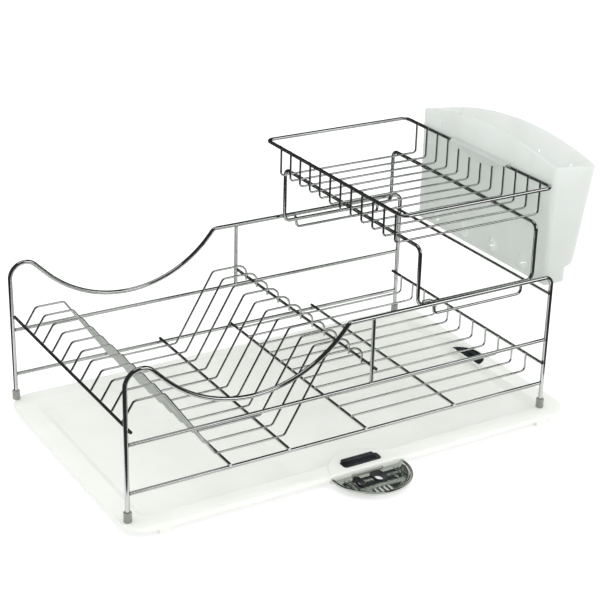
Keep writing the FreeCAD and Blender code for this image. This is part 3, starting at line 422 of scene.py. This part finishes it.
def spout():
    """The plated half-round dish: rolled rim, two holes with black sleeves below as painted shade,
    strainer slots, a stud.
    """
    loops = []
    for radius, height in SPOUT_SECTION:
        lean = math.degrees(math.asin((SPOUT_CHORD - SPOUT_Y) / radius))
        ring = arc_loop(SPOUT_X, SPOUT_Y, radius, 180 - lean, 360 + lean, 56)
        loops.append([(x, y, height) for x, y in ring])
    dish = solid("spout_dish", *skin(loops))
    bowl = lathe("bowl", (SPOUT_X, SPOUT_Y), BOWL_SECTION, 96)
    carve(dish, "DIFFERENCE", [bowl])
    stud = lathe("stud", STUD_PLACE, STUD_SECTION, 24)
    ridges = [rounded_prism("ridge", rounded_loop(x - 0.9, -50.0, x + 0.9, -27.0, 0.85), -7.0,
                            -5.1, 0.7) for x in RIDGE_PLACES]
    carve(dish, "UNION", [stud] + ridges)
    holes = (rounded_loop(246.5, -46.0, 255.5, -26.0, 4.4),
             rounded_loop(268.0, -46.0, 284.0, -24.5, 6.5))
    cuts = [rounded_prism("cut", ring, -10.0, 0.0, 0.1) for ring in holes]
    for place in ROW_OF_FOUR:
        x = STRAINER_X + STRAINER_PITCH * place
        cuts.append(rounded_prism("cut", rounded_loop(x - 1.5, -65.0, x + 1.5, -55.0, 1.4),
                                  -10.0, 0.0, 0.1))
    carve(dish, "DIFFERENCE", cuts)
    finished(dish, "drip_tray", "chromed_spout", "drain_spout")
    # Painted shade: black rubber sleeves under the two holes reach almost to the worktop and stand
    # in for the dark inside of the holes.
    for name, ring in zip(("small_hole_shade_sleeve", "large_hole_shade_sleeve"), holes):
        shade_sleeve = rounded_prism(name, inset(ring, 0.05), -11.7, -4.6, 0.6)
        bore = rounded_prism("bore", inset(ring, 0.1 * ring_width(ring)), -13.0, -3.0, 0.1)
        carve(shade_sleeve, "DIFFERENCE", [bore])
        finished(shade_sleeve, "drip_tray", "black_rubber")


# ---------------------------------------------------------------- cutlery holder

HOLDER_Y, HOLDER_HALF = 137.0, 125.0
HOLDER_IN, HOLDER_WALL = 520.6, 1.8
RIM_CROWN, RIM_FALL, RIM_RUN = 300.5, 6.5, 62.4
ARCH_RISE = 15.0
ARCH_R = (HOLDER_HALF ** 2 + ARCH_RISE ** 2) / (2 * ARCH_RISE)
# the outer wall: its place low down, the step's foot and head, its reach, and the lean above
LOWER_OUT, STEP_LOW, STEP_HIGH = 550.5, 163.0, 168.0
STEP_OUT, LEAN_OUT, LEAN_RISE = 10.6, 21.9, 126.0
OVAL_PITCH, OVAL_LEVEL = 56.4, 162.5
HANG_REACH, HANG_LEVEL = 83.8, 277.0
BACK_PITCH, BACK_LEVEL = 57.0, 268.7
SLOT_COUNT, SLOT_PITCH = 11, 20.0


def rim_height(x, y):
    """The holder's arched rim, which falls a little from the inner wall to the outer one."""
    away = min(abs(y - HOLDER_Y), HOLDER_HALF)
    crown = RIM_CROWN - RIM_FALL * (x - HOLDER_IN) / RIM_RUN
    return crown - ARCH_R + math.sqrt(ARCH_R ** 2 - away ** 2)


def outer_x(height):
    """The outer wall: upright low down, then a soft step and a steady lean outwards."""
    if height <= STEP_LOW:
        return LOWER_OUT
    if height <= STEP_HIGH:
        share = (height - STEP_LOW) / (STEP_HIGH - STEP_LOW)
        return LOWER_OUT + STEP_OUT * share * share * (3 - 2 * share)
    return LOWER_OUT + STEP_OUT + LEAN_OUT * (height - STEP_HIGH) / LEAN_RISE


def holder_loop(height, share, wall, radius):
    """One level of the holder; a share of 1 lies on the arched rim."""
    low_y, high_y = HOLDER_Y - HOLDER_HALF + wall, HOLDER_Y + HOLDER_HALF - wall
    base = outer_x(height + share * (286.0 - height)) - wall
    ring = rounded_loop(HOLDER_IN + wall, low_y, base, high_y, radius, 6, 24)
    loop = []
    for x, y in ring:
        level = height + share * (rim_height(x, y) - height)
        shift = (outer_x(level) - wall - base) * (x - HOLDER_IN - wall) / (base - HOLDER_IN - wall)
        loop.append((x + shift, y, level))
    return loop


def flap():
    """The tongue that passes over the shelf's ring and droops inside it in a shallow arc."""
    half, low, under, wall = 52.0, 256.5, 267.0, HOLDER_WALL
    sweep = (half ** 2 + (under - low) ** 2) / (2 * (under - low))
    columns = []
    for step in range(49):
        y = -half + 2 * half * step / 48
        tip = under - (math.sqrt(sweep ** 2 - y * y) - (sweep - (under - low)))
        tip = min(tip, under - 0.2)
        outside = [(521.8, under + wall)]
        inside = [(521.8, under)]
        for turn in range(0, 91, 15):
            angle = math.radians(turn)
            outside.append((514.0 - 2.8 * math.sin(angle), under + wall - 2.8
                            + 2.8 * math.cos(angle)))
            inside.append((514.0 - 1.0 * math.sin(angle), under - 1.0 + math.cos(angle)))
        outside += [(511.2, min(tip + 0.5, under - 1.0)), (511.5, min(tip + 0.1, under - 1.3))]
        inside += [(513.0, min(tip + 0.5, under - 1.0)), (512.7, min(tip + 0.1, under - 1.3))]
        section = outside + list(reversed(inside))
        columns.append([(x, HOLDER_Y + 3.0 + y, z) for x, z in section])
    return solid("flap", *skin(columns))


def oval(y, z, half_width, half_height):
    """An upright opening with round ends through the inner wall."""
    ring = rounded_loop(y - half_width, z - half_height, y + half_width, z + half_height,
                        half_width - 0.05, 10)
    return along_x("opening", ring, 517.0, 524.5)


def holder():
    """The tapered frosted box, with its arched rim, flap, drain ovals, holes and floor slots."""
    wall = HOLDER_WALL
    loops = [holder_loop(146.4, 0.0, 2.2, 3.0), holder_loop(146.6, 0.0, 1.0, 4.2),
             holder_loop(147.2, 0.0, 0.3, 5.0), holder_loop(148.2, 0.0, 0.0, 5.2)]
    levels = (160.0, 163.0, 164.2, 165.4, 166.6, 168.0, 169.4)
    loops += [holder_loop(level, 0.0, 0.0, 5.2) for level in levels]
    loops += [holder_loop(169.4, share, 0.0, 5.2) for share in (0.25, 0.5, 0.75, 0.96, 0.993)]
    loops += [holder_loop(169.4, 0.999, 0.2, 5.0), holder_loop(169.4, 1.0, 0.6, 4.6),
              holder_loop(169.4, 1.0, 1.2, 4.2), holder_loop(169.4, 0.999, 1.6, 4.0)]
    loops += [holder_loop(169.4, share, wall, 3.6) for share in (0.993, 0.75, 0.5, 0.25, 0.0)]
    loops += [holder_loop(level, 0.0, wall, 3.6) for level in reversed(levels)]
    loops += [holder_loop(149.2, 0.0, wall + 0.2, 3.4), holder_loop(148.4, 0.0, wall + 0.9, 2.8),
              holder_loop(148.2, 0.0, wall + 1.8, 2.0)]
    shell = solid("holder_shell", *skin(loops))
    carve(shell, "UNION", [flap()])
    cuts = [oval(HOLDER_Y + OVAL_PITCH * place, OVAL_LEVEL, 7.5, 9.5) for place in ROW_OF_FOUR]
    cuts += [oval(HOLDER_Y + hand * HANG_REACH, HANG_LEVEL, 2.0, 2.06) for hand in (-1, 1)]
    for place in ROW_OF_FOUR:
        y = HOLDER_Y + BACK_PITCH * place
        ring = rounded_loop(y - 2.0, BACK_LEVEL - 2.0, y + 2.0, BACK_LEVEL + 2.0, 1.95, 8)
        cuts.append(along_x("opening", ring, 560.0, 590.0))
    for row in range(SLOT_COUNT):
        y = HOLDER_Y + (row - SLOT_COUNT // 2) * SLOT_PITCH
        cuts.append(rounded_prism("slot", rounded_loop(523.0, y - 2.5, 548.0, y + 2.5, 2.4),
                                  140.0, 152.0, 0.1))
    carve(shell, "DIFFERENCE", cuts)
    finished(shell, "cutlery_holder", "frosted_holder_plastic", "cutlery_holder")


# ---------------------------------------------------------------- feet and welds


ROD_RADIUS, STAND_RADIUS = 1.7, 2.1
RAIL_LEVELS, BESIDE_LEGS = (31.2, 85.8), (2.6, 517.4)
STRUT_X, STRUT_ENDS = 284.6, (88.0, 160.4)
SHELF_COUNT, SHELF_PITCH, SHELF_BEAD_LEVEL = 12, 21.6, 228.1


def foot_cap(node_name):
    """A soft cap: a rounded foot, a slightly waisted side and a lip round the wire."""
    low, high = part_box(node_name)
    centre = ((low[0] + high[0]) * 500 + ORIGIN.x, (low[1] + high[1]) * 500 + ORIGIN.y)
    cap = lathe(node_name + "_soft", centre, (
        (3.4, 0.0), (4.0, 0.1), (4.4, 0.45), (4.5, 1.0), (4.42, 3.5), (4.3, 7.0), (4.36, 8.8),
        (4.5, 9.4), (4.5, 10.3), (4.3, 10.8), (3.8, 11.0), (3.1, 11.0), (2.7, 10.8),
        (2.5, 10.3), (2.45, 1.6), (2.3, 1.5)))
    finished(cap, "rack", "clear_cap_plastic", node_name)


def bead(points, faces, centre, size):
    """Adds one small fillet of weld metal: a rounded bead, longer one way than the others."""
    rows, turns = 6, 10
    base = len(points)
    wander = math.sin(centre[0] * 1.7 + centre[1] * 2.3)
    for row in range(1, rows):
        lift = math.pi * row / rows
        for turn in range(turns):
            angle = 2 * math.pi * turn / turns
            swell = 1 + 0.08 * math.sin(3 * angle + wander)
            points.append((centre[0] + size[0] * swell * math.sin(lift) * math.cos(angle),
                           centre[1] + size[1] * swell * math.sin(lift) * math.sin(angle),
                           centre[2] - size[2] * math.cos(lift)))
    faces.append([base + turn for turn in reversed(range(turns))])
    for row in range(rows - 2):
        low, high = base + row * turns, base + (row + 1) * turns
        for turn in range(turns):
            after = (turn + 1) % turns
            faces.append([low + turn, low + after, high + after, high + turn])
    faces.append([high + turn for turn in range(turns)])


def middle(node_name):
    """The centre of a CAD node's box, in millimetres."""
    low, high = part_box(node_name)
    return (Vector(low) + Vector(high)) * 500 + ORIGIN


def welds():
    """Beads where the rack's thin wires and rods cross, and where the shelf's wires rest."""
    points, faces = [], []
    rods = {name: middle(name) for name in ("left_end_rod", "floor_rod_1", "floor_rod_2",
                                            "floor_rod_3", "floor_rod_4", "hump_rod", "stop_rod",
                                            "holder_rod")}
    small = (1.5, 1.3, 1.0)
    for index in range(1, 12):
        y = middle("plate_wire_%02d" % index).y
        for name in ("floor_rod_1", "floor_rod_2"):
            bead(points, faces, (rods[name].x, y, rods[name].z + ROD_RADIUS), small)
        bead(points, faces, (rods["left_end_rod"].x + ROD_RADIUS, y, rods["left_end_rod"].z),
             small)
        bead(points, faces, (rods["hump_rod"].x - ROD_RADIUS, y, rods["hump_rod"].z), small)
        y = middle("floor_wire_%02d" % index).y
        for name in ("floor_rod_3", "floor_rod_4"):
            bead(points, faces, (rods[name].x, y, rods[name].z + ROD_RADIUS), small)
        bead(points, faces, (rods["stop_rod"].x - ROD_RADIUS, y, rods["stop_rod"].z), small)
    for y in (NEAR, FAR):
        for name in ("floor_rod_1", "floor_rod_2", "floor_rod_3", "floor_rod_4"):
            bead(points, faces, (rods[name].x, y, rods[name].z - ROD_RADIUS), (1.9, 1.9, 1.2))
        for name in ("stop_rod", "holder_rod"):
            bead(points, faces, (rods[name].x + ROD_RADIUS, y, rods[name].z), (1.1, 1.9, 1.9))
        bead(points, faces, (rods["left_end_rod"].x - ROD_RADIUS, y, rods["left_end_rod"].z),
             (1.1, 1.9, 1.9))
        for level in RAIL_LEVELS:
            for x in BESIDE_LEGS:
                bead(points, faces, (x, y, level), (1.4, 2.1, 2.3))
        for level in STRUT_ENDS:
            bead(points, faces, (STRUT_X, y, level), (2.3, 2.1, 1.2))
    finished(solid("rack_welds", points, faces), "rack", "chrome_thin_wire", angle=80.0)
    points, faces = [], []
    wires, ring = middle("shelf_wires"), middle("shelf_ring")
    low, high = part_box("shelf_wires")
    first, last = low[0] * 1000 + ORIGIN.x, high[0] * 1000 + ORIGIN.x
    for index in range(SHELF_COUNT):
        y = wires.y + (index - (SHELF_COUNT - 1) / 2) * SHELF_PITCH
        for name in ("stand_left_frame", "stand_right_frame"):
            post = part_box(name)[0 if name == "stand_left_frame" else 1][0] * 1000 + ORIGIN.x
            bar = post + (STAND_RADIUS if name == "stand_left_frame" else -STAND_RADIUS)
            bead(points, faces, (bar, y, SHELF_BEAD_LEVEL), small)
        bead(points, faces, (first, y, ring.z), (1.0, 1.4, 1.5))
        bead(points, faces, (last, y, ring.z), (1.0, 1.4, 1.5))
    finished(solid("shelf_welds", points, faces), "upper_shelf", "chrome_thin_wire", angle=80.0)


tray()
gate()
plug()
spout()
holder()
for side in ("near", "far"):
    foot_cap(side + "_left_foot_cap")
    foot_cap(side + "_right_foot_cap")
welds()

# ---------------------------------------------------------------- camera


def photo_camera():
    """A long lens at about 31 degrees to the left of the front and 24 degrees up."""
    data = bpy.data.cameras.new("camera")
    data.sensor_width = 36.0
    data.lens = 93.99
    camera = bpy.data.objects.new("camera", data)
    scene.collection.objects.link(camera)
    right = Vector((0.8597, -0.5104, 0.0240)).normalized()
    forward = Vector((0.4752, 0.7815, -0.4044)).normalized()
    up = right.cross(forward).normalized()
    right = forward.cross(up)
    turn = Matrix((right, up, -forward)).transposed()
    camera.matrix_world = Matrix.Translation((-0.8392, -1.3431, 0.8479)) @ turn.to_4x4()
    scene.camera = camera


photo_camera()

# ---------------------------------------------------------------- light and floor


def softbox(name, place, aim, size, power):
    """A square area light that points at a place."""
    data = bpy.data.lights.new(name, "AREA")
    data.size = size
    data.energy = power
    light = bpy.data.objects.new(name, data)
    scene.collection.objects.link(light)
    light.location = place
    light.rotation_euler = (Vector(aim) - Vector(place)).to_track_quat("-Z", "Y").to_euler()


def matte(name, tone, glow=0.0):
    """A plain matte stage finish, which can glow a little to lift its shadows."""
    material, _, shader, _ = blank_material(name)
    shader.inputs["Emission Color"].default_value = (1, 1, 1, 1)
    shader.inputs["Emission Strength"].default_value = glow
    shader.inputs["Base Color"].default_value = (tone, tone, tone, 1)
    shader.inputs["Roughness"].default_value = 0.9
    shader.inputs["Specular IOR Level"].default_value = 0.0
    return material


def studio():
    """A white floor in a white room. Reflections see a far darker room and a dark card ring."""
    scene.view_settings.view_transform = "Standard"
    bpy.ops.mesh.primitive_plane_add(size=14.0, location=(0, 3, 0))
    floor = bpy.context.object
    floor.name = "studio_floor"
    floor.data.materials.append(matte("studio_floor", 0.55, 0.5))
    count = 96
    turns = [2 * math.pi * step / count for step in range(count)]
    rings = [[(0.44 * math.cos(a), 0.27 * math.sin(a), 0.001) for a in turns],
             [(6.0 * math.cos(a), 6.0 * math.sin(a), 0.001) for a in turns]]
    mesh = bpy.data.meshes.new("dark_card")
    mesh.from_pydata(rings[0] + rings[1], [],
                     [[i, (i + 1) % count, count + (i + 1) % count, count + i]
                      for i in range(count)])
    card = bpy.data.objects.new("dark_card", mesh)
    scene.collection.objects.link(card)
    card.data.materials.append(matte("dark_card", 0.03))
    for kind in ("camera", "diffuse", "transmission", "shadow", "volume_scatter"):
        setattr(card, "visible_" + kind, False)
    world = bpy.data.worlds.new("studio_room")
    scene.world = world
    world.use_nodes = True
    tree = world.node_tree
    sky = next(n for n in tree.nodes if n.type == "BACKGROUND")
    kind = linked(tree, "ShaderNodeLightPath", "kind of ray").outputs["Is Glossy Ray"]
    tone = linked(tree, "ShaderNodeMapRange", "room", Value=kind, To_Min=1.22, To_Max=0.045)
    tree.links.new(tone.outputs["Result"], sky.inputs["Strength"])
    sky.inputs["Color"].default_value = (1.0, 1.0, 1.0, 1)
    softbox("front_softbox", (1.05, -1.7, 1.0), (0, 0, 0.12), 1.3, 9.5)
    softbox("top_softbox", (0.0, 0.2, 2.6), (0, 0, 0), 2.0, 11.0)


studio()
